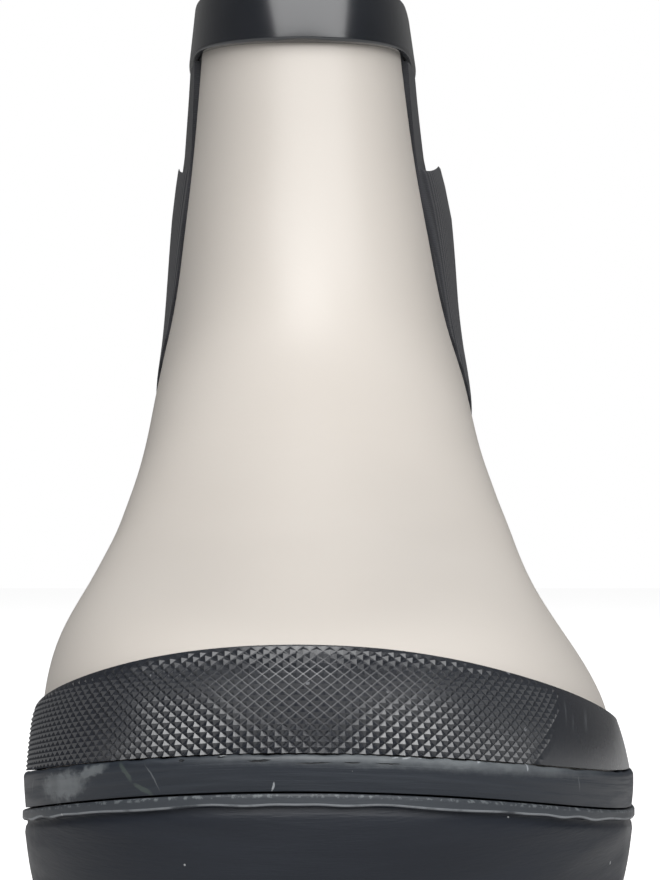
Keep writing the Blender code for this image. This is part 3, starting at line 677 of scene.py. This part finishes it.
# Toe guard: a second layer of dark rubber moulded with small raised diamonds, wrapped round the toe above
# the foxing. The diamonds stop at a slanting line on the outer side, past which the guard is smooth.
GUARD_THICKNESS = 0.002
GUARD_EDGE = 0.001
GUARD_HEIGHT = 0.0144
GUARD_END = 0.47
GUARD_ALONG = (0.0, 0.04, 0.10, 0.20, 0.32, 0.40, 0.47)
GUARD_SHARES = (1.0, 0.875, 0.745, 0.57, 0.43, 0.33, 0.20)
DIAMOND_LENGTH = 0.00190
DIAMOND_HEIGHT = 0.00141
DIAMOND_RELIEF = 0.00044
DIAMOND_SINK = 0.35
GUARD_SHARP_ANGLE = 14
GROOVE_SHARE = 0.07
TEXTURE_OUTER_END = 0.041
TEXTURE_END_SLANT = 0.9
TEXTURE_INNER_END = -0.088
TEXTURE_FADE = 0.004
GUARD_RUBS = (
    (49.5, 7.6, 74, 2.6, 0.35, 0.6, 0.8),
    (51.5, 6.2, 70, 2.0, 0.30, 0.6, 0.8),
    (57.0, 6.8, 60, 2.6, 0.90, 1.0, 0.9),
)
PLAIN_EDGE = 0.0014


def guard_grid():
    """Turn and lower level against distance round the guard's lower edge, and the guard's height over it."""
    turns = np.linspace(-math.acos(1 - 2 * GUARD_END), math.acos(1 - 2 * GUARD_END), 801)
    bottom = level_along(1 + 0 * turns, turns, SEAM_GAP)
    line = offset_points(bottom, turns, SEAM_GAP + GUARD_THICKNESS + 0 * turns)
    round_ = running_length(line)
    round_ -= np.interp(0, turns, round_)
    shares = spline(GUARD_ALONG, np.array(GUARD_SHARES)[:, None], (1 - np.cos(turns)) / 2)[:, 0]
    return turns, bottom, round_, GUARD_HEIGHT * shares


def diamond_net(length_low, length_high, height):
    """A flat net of cells, each half a diamond long and high, with tips at two facing corners and a groove
    between them. Gives its points, how high each stands (1 tip, 0 groove) and its triangles."""
    step = DIAMOND_LENGTH / 2
    rise = DIAMOND_HEIGHT / 2
    first = math.floor(length_low / step)
    columns = math.ceil(length_high / step) - first
    rows = math.ceil(height / rise)
    i, j = np.meshgrid(np.arange(columns + 1), np.arange(rows + 1), indexing="ij")
    tip = (i + j) % 2 == 0
    corner = np.stack([i, j], axis=-1).astype(float)
    toward = np.where(tip, 1 - GROOVE_SHARE, GROOVE_SHARE)
    along_edge = corner + np.stack([toward, 0 * toward], axis=-1)
    up_edge = corner + np.stack([0 * toward, toward], axis=-1)
    count = corner.shape[0] * corner.shape[1]
    number = np.arange(count).reshape(corner.shape[:2])
    points = np.concatenate([corner.reshape(-1, 2), along_edge.reshape(-1, 2), up_edge.reshape(-1, 2)])
    standing = np.concatenate([tip.ravel().astype(float), np.zeros(2 * count)])
    a, b, c, d = number[:-1, :-1], number[1:, :-1], number[1:, 1:], number[:-1, 1:]
    low, high = count + a, count + d
    left, right = 2 * count + a, 2 * count + b
    even = tip[:-1, :-1]
    upward = [(a, low, left), (low, b, right), (low, right, left), (left, right, high), (left, high, d),
              (high, right, c)]
    sideways = [(b, right, low), (low, right, left), (a, low, left), (right, high, left), (right, c, high),
                (high, d, left)]
    faces = [np.stack(three, axis=-1)[even] for three in upward]
    faces += [np.stack(three, axis=-1)[~even] for three in sideways]
    points = (points + [first, 0]) * [step, rise]
    return points, standing, np.concatenate(faces)


def build_guard():
    """The net laid round the toe: clipped at the guard's edges, raised into diamonds, closed underneath."""
    turns, bottom, round_, height = guard_grid()
    points, standing, faces = diamond_net(round_[0], round_[-1], GUARD_HEIGHT)
    length = np.clip(points[:, 0], round_[0], round_[-1])
    top = np.interp(length, round_, height)
    beyond = (points[:, 1] >= top) | (points[:, 0] > round_[-1] + 1e-6) | (points[:, 0] < round_[0] - 1e-6)
    faces = faces[~beyond[faces].all(axis=1)]
    up = np.minimum(points[:, 1], top)
    turn = np.interp(length, round_, turns)
    level = level_along(np.interp(length, round_, bottom), turn, up)
    outer_line = TEXTURE_OUTER_END + TEXTURE_END_SLANT * up
    mask = (np.clip((outer_line - length) / TEXTURE_FADE, 0, 1)
            * np.clip((length - TEXTURE_INNER_END) / TEXTURE_FADE, 0, 1)
            * np.clip((top - up) / PLAIN_EDGE, 0, 1))
    thick = GUARD_THICKNESS + (GUARD_EDGE - GUARD_THICKNESS) * up / top
    relief = DIAMOND_RELIEF * (mask * standing - DIAMOND_SINK * mask)
    outer = offset_points(level, turn, SEAM_GAP + thick + relief)
    inner = offset_points(level, turn, SEAM_GAP + 0 * up)
    count = len(outer)
    sides = np.concatenate([faces[:, [0, 1]], faces[:, [1, 2]], faces[:, [2, 0]]])
    _, back, times = np.unique(np.sort(sides, axis=1), axis=0, return_inverse=True, return_counts=True)
    rim = sides[times[back.ravel()] == 1]
    walls = np.concatenate([
        np.stack([rim[:, 1], rim[:, 0], rim[:, 0] + count], axis=1),
        np.stack([rim[:, 1], rim[:, 0] + count, rim[:, 1] + count], axis=1)])
    faces = np.concatenate([faces, faces[:, ::-1] + count, walls])
    used, faces = np.unique(faces, return_inverse=True)
    faces = faces.reshape(-1, 3)
    flat = np.tile(np.stack([length, up], axis=1), (2, 1))[used]
    points = np.concatenate([outer, inner])[used]
    return finish_mesh("toe_guard_rubber", points, faces, flat[faces], (GUARD,), GUARD_SHARP_ANGLE)


def paint_guard():
    """Dark, shining guard rubber: greyed by dust in places, with small pale nicks and a few faint rubs."""
    material, tree, shader, place = new_material("guard_rubber")
    shader.inputs["Specular IOR Level"].default_value = 0.8
    shader.inputs["Coat Weight"].default_value = 0.8
    shader.inputs["Coat Roughness"].default_value = 0.22
    dust = use_group(tree, PATCHES, place, size=30.0, spread=0.55, edge=0.2)
    nicks = use_group(tree, SPECKS, place, size=450.0, radius=0.16, share=0.05)
    base = shade_between(tree, dust, (0.006, 0.008, 0.014), (0.014, 0.017, 0.023))
    layers = ((smears(tree, ruler_of(tree), GUARD_RUBS), 0.4, (0.10, 0.11, 0.12)),
              (nicks, 0.5, (0.30, 0.31, 0.33)))
    tree.links.new(lay_over(tree, base, layers), shader.inputs["Base Color"])
    tree.links.new(scale_to(tree, dust, 0.26, 0.36), shader.inputs["Roughness"])
    tree.links.new(bump(tree, noise(tree, place, 1500.0, 2.0), 0.00002), shader.inputs["Normal"])
    return material


GUARD = paint_guard()
guard = build_guard()
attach(guard, "root")
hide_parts("toe_guard")

# Foxing: a strip of dark rubber rolled on all round, over the joint of upper and outsole. It stands upright,
# its top edge is rounded, and it carries pale scuffs and small chips of wear, and a pale band along that top
# edge which is partly wear and partly a painted highlight.
FOXING_THICKNESS = 0.0026
FOXING_ROUND = 0.0008
FOXING_RUFFLE = 0.00012
FOXING_TURNS = 720
# Pale marks: the first two are rubbed places on the inner side; the long third one, along the top edge round
# the toe, is partly wear and partly a painted highlight of the rounded shoulder.
PALE_RUBS_AND_TOP_HIGHLIGHT = (
    (-39.0, 5.6, 0, 8.5, 3.4, 4.0, 0.55),
    (-31.0, 7.6, 20, 4.5, 1.6, 2.5, 0.6),
    (21.0, 9.5, 0, 47.0, 3.6, 1.6, 0.9),
)
GREEN_RUBS = (
    (-24.2, 6.9, -66, 2.8, 0.55, 0.5, 0.5),
    (-21.4, 3.6, -30, 2.2, 0.50, 0.5, 0.5),
)
SCRATCHES = (
    (-19.8, 5.8, -68, 3.5, 0.16, 0.2, 0.7),
    (48.5, 6.5, -75, 2.2, 0.20, 0.3, 0.8),
    (-52.0, 6.0, 60, 2.5, 0.20, 0.4, 0.7),
)
CHIPS = (
    (-3.2, 3.3, 75, 0.75, 0.20, 0.5, 0.4),
    (14.3, 9.1, 20, 0.90, 0.25, 0.9, 0.4),
    (15.8, 9.3, -10, 0.70, 0.22, 0.9, 0.4),
    (12.6, 9.0, 10, 0.60, 0.18, 0.9, 0.4),
    (25.4, 9.0, 40, 0.45, 0.20, 0.5, 0.4),
    (34.8, 8.8, 80, 0.80, 0.18, 0.4, 0.4),
    (-9.6, 9.2, 0, 0.70, 0.18, 0.8, 0.4),
)
CRACKS = (
    (-15.3, 8.6, 4, 0.50, 0.22, 0.3, 0.5),
    (-9.9, 9.0, 0, 0.65, 0.20, 0.3, 0.5),
    (-4.9, 8.3, 5, 1.60, 0.24, 0.5, 0.5),
    (2.0, 7.7, 4, 2.50, 0.22, 0.5, 0.5),
    (6.8, 7.9, 0, 1.25, 0.24, 0.4, 0.5),
    (11.5, 7.9, -2, 1.90, 0.20, 0.5, 0.5),
)


def build_foxing():
    """The strip's section carried round: up its face, over a round shoulder and down against the upper."""
    turns = ring_turns(FOXING_TURNS)
    face = SEAM_GAP + FOXING_THICKNESS
    top = 1 + 0 * turns
    ruffle = FOXING_RUFFLE * np.sin(turns * 61 + 2 * np.sin(turns * 23)) * np.sin(turns * 17)
    rows = [(0 * turns, SEAM_GAP), (0 * turns, face)]
    rows += [(share * top, face) for share in (0.25, 0.5, 0.7)]
    for bend in np.linspace(0, math.pi / 2, 6):
        level = level_along(top, turns, -FOXING_ROUND * (1 - math.sin(bend)) + ruffle * math.sin(bend))
        rows.append((level, face - FOXING_ROUND * (1 - math.cos(bend))))
    rows.append((top, SEAM_GAP))
    levels = np.stack([row[0] for row in rows], axis=1)
    out = np.array([row[1] for row in rows])[None, :]
    wide = np.repeat(turns[:, None], len(rows), axis=1)
    return loft("foxing_rubber", offset_points(levels, wide, out + 0 * wide, True), True, (FOXING,))


def toe_run():
    """Where the toe's middle lies on the strip's ruler: half the way round from the heel."""
    turns = ring_turns(FOXING_TURNS)
    return running_length(offset_points(0 * turns, turns, SEAM_GAP + 0 * turns, True))[FOXING_TURNS // 2]


def paint_foxing():
    """Worn foxing rubber: streaks drawn along the strip, a pale top edge with short cracks, its paleness
    partly wear and partly a painted highlight of the rounded shoulder, rubbed places at the inner side,
    scratches and small chips."""
    material, tree, shader, place = new_material("foxing_rubber")
    ruler = ruler_of(tree)
    toe = toe_run()
    drawn = stretch(tree, ruler, (60.0, 900.0, 1.0))
    streaks = use_group(tree, PATCHES, drawn, size=1.0, spread=0.55, edge=0.15)
    cloud = use_group(tree, PATCHES, place, size=220.0, spread=0.46, edge=0.16)
    # One pale mask for the rubs and for the painted highlight along the top edge.
    worn_and_highlight = math_of(tree, "MULTIPLY", smears(tree, ruler, PALE_RUBS_AND_TOP_HIGHLIGHT, toe), scale_to(tree, cloud, 0.65, 1.0))
    cracks = smears(tree, ruler, CRACKS, toe)
    specks = use_group(tree, SPECKS, place, size=600.0, radius=0.16, share=0.015)
    base = shade_between(tree, streaks, (0.014, 0.019, 0.028), (0.024, 0.030, 0.040))
    # The pale tone serves both the rubs and the painted highlight on the top edge.
    layers = ((worn_and_highlight, 0.9, (0.165, 0.180, 0.190)),
              (smears(tree, ruler, GREEN_RUBS, toe), 0.8, (0.058, 0.076, 0.070)),
              (smears(tree, ruler, SCRATCHES, toe), 0.8, (0.120, 0.132, 0.142)),
              (cracks, 0.9, (0.006, 0.007, 0.009)),
              (smears(tree, ruler, CHIPS, toe), 0.9, (0.34, 0.36, 0.38)),
              (specks, 0.5, (0.40, 0.41, 0.42)))
    tree.links.new(lay_over(tree, base, layers), shader.inputs["Base Color"])
    tree.links.new(scale_to(tree, streaks, 0.42, 0.56), shader.inputs["Roughness"])
    sunk = bump(tree, scale_to(tree, cracks, 1, 0), 0.0003)
    tree.links.new(bump(tree, streaks, 0.00005, sunk), shader.inputs["Normal"])
    return material


FOXING = paint_foxing()
foxing = build_foxing()
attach(foxing, "root")
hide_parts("foxing")

# Outsole: one moulding of hard dark rubber with a rolled bead at the top, a plain side wall that draws in to
# the tread, a hollow under the waist, a low heel, and cross grooves between its lugs.
BEAD_HEIGHT = 0.0018
BEAD_OUTSET = 0.0034
GROOVE_OUTSET = 0.0026
WALL_OUTSET = 0.0030
TREAD_OUTSET = 0.0006
WAIST_TUCK = 0.003
WAIST_PLACE = 0.58
WAIST_SPREAD = 0.10
SOLE_ROUND = 0.0008
GROOVE_HEIGHT = 0.0004
WALL_START = 0.12
ARCH_START = 0.47
HEEL_BREAST = 0.70
ARCH_HEIGHT = 0.008
LUG_DEPTH = 0.0035
LUG_GROOVE_WIDTH = 0.005
LUG_PITCH = 0.0135
FORE_TREAD = (0.06, 0.42)
HEEL_TREAD = (0.76, 0.95)
SOLE_TURNS = 720
SOLE_DUST = ((-50.0, -95.0, 70, 45.0, 11.0, 8.0, 0.9), (52.0, -90.0, -70, 30.0, 6.0, 6.0, 0.9))
FLASH_RIPPLE = 0.00018
FLASH_RUN = 0.0021
TEETH_RUN = 0.0008


def sole_ring(turns, outset, height):
    """One ring of a sole piece: the form's lowest ring moved out flat, at a height per turn."""
    ring = offset_points(0 * turns, turns, outset + 0 * turns, True)
    ring[:, 2] = height
    return ring


def build_outsole():
    """The sole from its top face down: bead, shallow groove, side wall drawing in, rounded tread edge."""
    turns = ring_turns(SOLE_TURNS)
    along = (1 - np.cos(turns)) / 2
    top = sole_top(along)
    floor = TOE_SPRING * sole_spring(along)
    tuck = WAIST_TUCK * np.exp(-((along - WAIST_PLACE) / WAIST_SPREAD) ** 2)
    wall = top - BEAD_HEIGHT
    rings = [(BEAD_OUTSET - SOLE_ROUND, top)]
    for bend in np.linspace(0, math.pi / 2, 5)[1:]:
        rings.append((BEAD_OUTSET - SOLE_ROUND / 2 * (1 - math.sin(bend)),
                      top - SOLE_ROUND / 2 * (1 - math.cos(bend))))
    flash = FLASH_RIPPLE * np.sin(37 * turns + 2 * np.sin(11 * turns)) * np.sin(7 * turns)
    rings += [(BEAD_OUTSET, wall + SOLE_ROUND / 2 + flash),
              (BEAD_OUTSET - SOLE_ROUND / 4, wall + SOLE_ROUND / 8 + flash),
              (GROOVE_OUTSET, wall), (GROOVE_OUTSET, wall - GROOVE_HEIGHT)]
    for share in np.linspace(WALL_START / 2, WALL_START, 3):
        rings.append((GROOVE_OUTSET + (WALL_OUTSET - GROOVE_OUTSET) * (share / WALL_START) ** 0.5,
                      wall - share * (wall - floor)))
    middle = 0.7 * WALL_OUTSET + 0.3 * TREAD_OUTSET
    for share in np.linspace(0, 1, 9)[1:]:
        outsets = np.array([[WALL_OUTSET], [middle], [TREAD_OUTSET]])
        out = spline((0, 0.43, 1), outsets, np.array([share]))[0, 0]
        drop = WALL_START + (1 - WALL_START) * share
        rings.append((out - tuck * share ** 1.3, wall + (floor + SOLE_ROUND - wall) * drop))
    for bend in np.linspace(0, math.pi / 2, 4)[1:]:
        rings.append((TREAD_OUTSET - SOLE_ROUND * (1 - math.cos(bend)) - tuck,
                      floor + SOLE_ROUND * (1 - math.sin(bend))))
    return loft("outsole_rubber", np.stack([sole_ring(turns, *ring) for ring in rings]), False, (SOLE,), 30)


def sole_place(along):
    """Y in the frame of a share of the sole's length."""
    return LAST_LENGTH * (along - 0.5) + DATUM[1]


def build_arch():
    """The hollow under the waist, right across: it climbs from the tread and drops at the heel's breast."""
    share = np.linspace(0, 1, 25)
    y = sole_place(ARCH_START + (HEEL_BREAST - ARCH_START) * share)
    roof = np.stack([y, ARCH_HEIGHT * np.sin(share * math.pi / 2) ** 1.5], axis=1)
    floor = np.stack([y[::-1], 0 * y - ARCH_HEIGHT], axis=1)
    outline = np.concatenate([roof, floor])
    loops = np.stack([np.column_stack([np.full(len(outline), x), outline])
                      for x in (-BALL_WIDTH, BALL_WIDTH)])
    return loft("arch_hollow", loops, False, (SOLE,))


def build_grooves():
    """The tread's cross grooves: bars right across the sole, each tipped to follow the toe spring."""
    spots = [first + number * LUG_PITCH / LAST_LENGTH
             for first, last in (FORE_TREAD, HEEL_TREAD)
             for number in range(int((last - first) * LAST_LENGTH / LUG_PITCH) + 1)]
    for number, along in enumerate(spots):
        rise = TOE_SPRING * float(sole_spring(np.array(along)))
        ahead = TOE_SPRING * float(sole_spring(np.array(along - STEP)))
        slope = math.atan2(rise - ahead, STEP * LAST_LENGTH)
        forward = np.array([math.cos(slope), math.sin(slope)])
        upward = np.array([-math.sin(slope), math.cos(slope)])
        middle = np.array([sole_place(along), rise])
        outline = np.stack([middle + forward * side * LUG_GROOVE_WIDTH / 2 + upward * LUG_DEPTH * end
                            for side, end in ((-1, 1), (1, 1), (1, -1), (-1, -1))])
        loops = np.stack([np.column_stack([np.full(4, x), outline]) for x in (-BALL_WIDTH, BALL_WIDTH)])
        yield loft(f"groove_{number + 1:02d}", loops, False, (SOLE,))


def band_mask(tree, value, middle, half, fade):
    """1 where a value is within half a width of a middle, fading to 0 beyond it."""
    far = math_of(tree, "ABSOLUTE", math_of(tree, "SUBTRACT", value, middle))
    return scale_to(tree, far, 1, 0, half, half + fade)


def paint_sole():
    """Hard sole rubber: dull navy-black with grey streaks along the wall, dust at the sides and a few pale
    specks. The bead is greyer, with tiny pale teeth along its top and a ragged pale line at its foot."""
    material, tree, shader, place = new_material("sole_rubber")
    drawn = stretch(tree, place, (1.0, 1.0, 9.0))
    film = use_group(tree, PATCHES, drawn, size=25.0, spread=0.55, edge=0.2)
    specks = use_group(tree, SPECKS, place, size=420.0, radius=0.13, share=0.05)
    base = shade_between(tree, film, (0.003, 0.006, 0.013), (0.010, 0.014, 0.023))
    down = add_node(tree, "ShaderNodeSeparateXYZ", {"Vector": ruler_of(tree)}).outputs["X"]
    broken = use_group(tree, PATCHES, place, size=160.0, spread=0.44, edge=0.10)
    ragged = use_group(tree, PATCHES, place, size=1400.0, spread=0.56, edge=0.05)
    bead = band_mask(tree, down, FLASH_RUN / 2, FLASH_RUN / 2, 0.0002)
    flash = math_of(tree, "MULTIPLY", band_mask(tree, down, FLASH_RUN, 0.00010, 0.00012), broken)
    teeth = math_of(tree, "MULTIPLY", band_mask(tree, down, TEETH_RUN, 0.0002, 0.0002), ragged)
    dust = math_of(tree, "MULTIPLY", smears(tree, place, SOLE_DUST), scale_to(tree, broken, 0.5, 1.0))
    layers = ((bead, 0.8, (0.048, 0.055, 0.064)),
              (dust, 0.6, (0.130, 0.130, 0.135)),
              (teeth, 0.5, (0.22, 0.24, 0.25)),
              (flash, 0.75, (0.30, 0.32, 0.34)),
              (specks, 0.7, (0.50, 0.51, 0.52)))
    tree.links.new(lay_over(tree, base, layers), shader.inputs["Base Color"])
    tree.links.new(scale_to(tree, film, 0.42, 0.6), shader.inputs["Roughness"])
    tree.links.new(bump(tree, noise(tree, drawn, 300.0, 3.0), 0.00006), shader.inputs["Normal"])
    return material


SOLE = paint_sole()
outsole = build_outsole()
cut_out(outsole, [build_arch(), *build_grooves()], 30)
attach(outsole, "root")
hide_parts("outsole")

# Insole: a loose sock of thin foam faced with grey cloth, lying on the outsole inside the upper.
INSOLE_THICKNESS = 0.003
INSOLE_TURNS = 240


def build_insole():
    """The form's lowest ring drawn in past the upper's wall, with a rolled upper edge."""
    turns = ring_turns(INSOLE_TURNS)
    base = sole_top((1 - np.cos(turns)) / 2) + SEAM_GAP
    inset = -UPPER_WALL - SEAM_GAP
    rings = [(inset, base)]
    for bend in np.linspace(0, math.pi / 2, 5):
        rings.append((inset - SOLE_ROUND * (1 - math.cos(bend)),
                      base + INSOLE_THICKNESS - SOLE_ROUND * (1 - math.sin(bend))))
    return loft("insole_sock", np.stack([sole_ring(turns, *ring) for ring in rings]), False, (LINING,))


insole = build_insole()
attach(insole, "root")
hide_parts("insole")

# Studio: a pale floor that fades into the white behind it, a wide soft light in front and above, a smaller
# one overhead, weak light all round, and the camera close in front of the toe.
CAMERA_AHEAD = 0.240
CAMERA_HEIGHT = 0.058
CAMERA_ASIDE = 0.0046
TOE_Y = -0.139
FRAME_HEIGHT = 880
FOCAL_PIXELS = 1790
HORIZON_ROW = 572
SENSOR = 36.0
ROOM_LIGHT = 0.12
FLOOR_GLOW = 0.88


def add_light(name, place, aim, size, power):
    """A rectangular area light at a place, turned to face a point."""
    light = bpy.data.lights.new(name, "AREA")
    light.shape = "RECTANGLE"
    light.size, light.size_y = size
    light.energy = power
    lamp = bpy.data.objects.new(name, light)
    lamp.location = place
    way = np.array(aim) - np.array(place)
    flat = math.hypot(way[0], way[1])
    lamp.rotation_euler = (math.atan2(flat, -way[2]), 0, math.atan2(-way[0], way[1]))
    bpy.context.scene.collection.objects.link(lamp)


def build_floor():
    """A wide, pale, matt floor that glows faintly for the camera alone, so that it fades into the white."""
    reach = 6.0
    corners = np.array([(-reach, -reach, 0), (reach, -reach, 0), (reach, reach, 0), (-reach, reach, 0)])
    material, tree, shader, _ = new_material("pale_floor")
    seen = add_node(tree, "ShaderNodeLightPath").outputs["Is Camera Ray"]
    tree.links.new(scale_to(tree, seen, 0, FLOOR_GLOW), shader.inputs["Emission Strength"])
    shader.inputs["Emission Color"].default_value = (1, 1, 1, 1)
    shader.inputs["Base Color"].default_value = (0.62, 0.62, 0.62, 1)
    shader.inputs["Roughness"].default_value = 0.8
    floor = finish_mesh("studio_floor", corners, np.array([[0, 1, 2, 3]]), None, (material,), 30)


def build_world():
    """White behind the boot, while only a weak even light falls on it from all round."""
    world = bpy.data.worlds.new("studio")
    world.use_nodes = True
    bpy.context.scene.world = world
    tree = world.node_tree
    seen = add_node(tree, "ShaderNodeLightPath").outputs["Is Camera Ray"]
    tree.links.new(scale_to(tree, seen, ROOM_LIGHT, 1.0), tree.nodes["Background"].inputs["Strength"])
    tree.nodes["Background"].inputs["Color"].default_value = (1, 1, 1, 1)


build_floor()
build_world()
add_light("front_softbox", place=(0.22, -1.0, 0.95), aim=(0.02, 0, 0.1), size=(2.5, 1.3), power=25.5)
add_light("overhead_softbox", place=(-0.05, -0.55, 1.5), aim=(0, 0, 0), size=(0.8, 0.8), power=6.8)
bpy.context.scene.view_settings.view_transform = "Standard"

camera = bpy.data.objects.new("camera", bpy.data.cameras.new("camera"))
bpy.context.scene.collection.objects.link(camera)
camera.location = (DATUM[0] + CAMERA_ASIDE, TOE_Y - CAMERA_AHEAD, CAMERA_HEIGHT)
camera.rotation_euler = (math.pi / 2, 0, 0)
camera.data.sensor_width = SENSOR
camera.data.lens = SENSOR * FOCAL_PIXELS / FRAME_HEIGHT
camera.data.shift_y = (HORIZON_ROW - FRAME_HEIGHT / 2) / FRAME_HEIGHT
camera.data.clip_start = 0.01
bpy.context.scene.camera = camera
